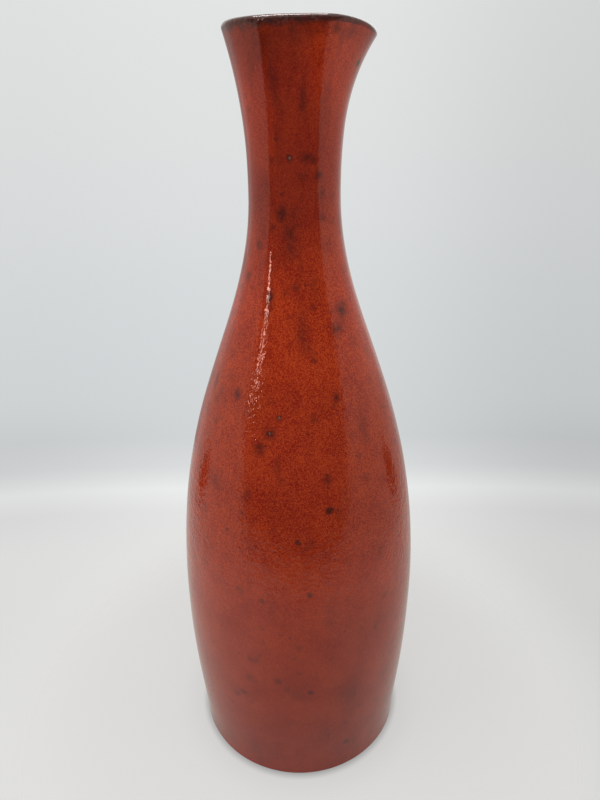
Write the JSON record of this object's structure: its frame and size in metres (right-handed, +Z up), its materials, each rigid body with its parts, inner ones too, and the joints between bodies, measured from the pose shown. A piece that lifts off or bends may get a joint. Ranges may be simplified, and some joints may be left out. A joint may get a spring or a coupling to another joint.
{
  "type": "sake bottle",
  "caption": "Tall pear-shaped stoneware bottle with a narrow waisted neck, a flared mouth drawn out into a shallow pouring lip, and a glossy iron-red glaze.",
  "frame": {"origin": "centre of the foot, on the surface that the bottle stands on", "axes": "+Z up the bottle's axis, +X towards the pouring lip"},
  "size_m": [0.0906, 0.0906, 0.265],
  "materials": {
    "stoneware": "unglazed",
    "red_glaze": "gloss",
    "liner_glaze": "gloss",
    "lip_glaze": "gloss"
  },
  "bodies": {
    "root": {"stoneware_body": "stoneware", "outer_glaze": "red_glaze", "inner_glaze": "liner_glaze", "lip_glaze": "lip_glaze"}
  },
  "joints": []
}
